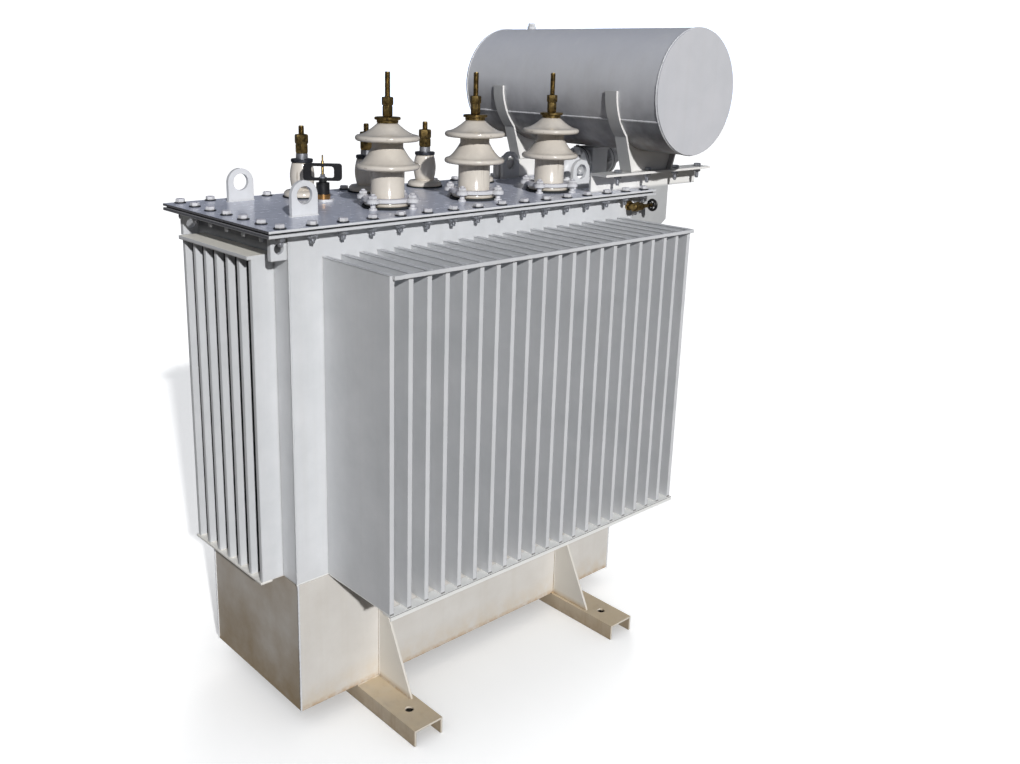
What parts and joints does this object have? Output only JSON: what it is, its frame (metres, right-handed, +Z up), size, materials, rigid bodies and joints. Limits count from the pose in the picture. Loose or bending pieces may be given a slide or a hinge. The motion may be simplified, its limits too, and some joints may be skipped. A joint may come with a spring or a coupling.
{
  "type": "power transformer",
  "caption": "Oil-filled distribution transformer with a finned tank on channel skids, porcelain bushings on a bolted cover and an oil conservator drum at one end.",
  "frame": {"origin": "on the ground under the middle of the overall length and width", "axes": "+X along the tank towards the conservator, +Z up; the high-voltage bushings are on the -Y side"},
  "size_m": [1.406, 0.864, 1.578],
  "materials": {
    "paint": "satin light grey",
    "skid_paint": "light grey paint under tan dust",
    "porcelain": "glazed cream white",
    "brass": "dull dark brass",
    "tap_changer": "black moulding",
    "gasket": "dark sheet gasket"
  },
  "bodies": {
    "transformer": {"back_bracket": "paint", "back_fin_wall": "paint", "back_saddle": "paint", "conservator_back_end": "paint", "conservator_front_end": "paint", "conservator_shell": "paint", "cover": "paint", "cover_gasket": "gasket", "filler_cap": "paint", "front_bracket": "paint", "front_fin_wall": "paint", "front_saddle": "paint", "gas_relay": "paint", "hv_clamp_a": "paint", "hv_clamp_b": "paint", "hv_clamp_c": "paint", "hv_porcelain_a": "porcelain", "hv_porcelain_b": "porcelain", "hv_porcelain_c": "porcelain", "hv_terminal_a": "brass", "hv_terminal_b": "brass", "hv_terminal_c": "brass", "left_fin_wall": "paint", "lifting_lug_back_left": "paint", "lifting_lug_back_right": "paint", "lifting_lug_front_left": "paint", "lifting_lug_front_right": "paint", "lower_tank": "paint", "lv_porcelain_1": "porcelain", "lv_porcelain_2": "porcelain", "lv_porcelain_3": "porcelain", "lv_porcelain_4": "porcelain", "lv_terminal_1": "brass", "lv_terminal_2": "brass", "lv_terminal_3": "brass", "lv_terminal_4": "brass", "oil_pipe": "paint", "oil_valve": "brass", "right_fin_wall": "paint", "skid_left": "skid_paint", "skid_right": "skid_paint", "tank_flange": "paint", "tap_changer_body": "tap_changer", "tap_changer_ring": "brass", "upper_tank": "paint"},
    "tap_handle": {"tap_changer_handle": "tap_changer"}
  },
  "joints": [
    {"name": "tap_handle_turn", "type": "hinge", "parent": "transformer", "child": "tap_handle", "pos_m": [-0.387, 0.063, 1.2], "axis": [0, 0, 1], "range_deg": [-60, 60]}
  ]
}
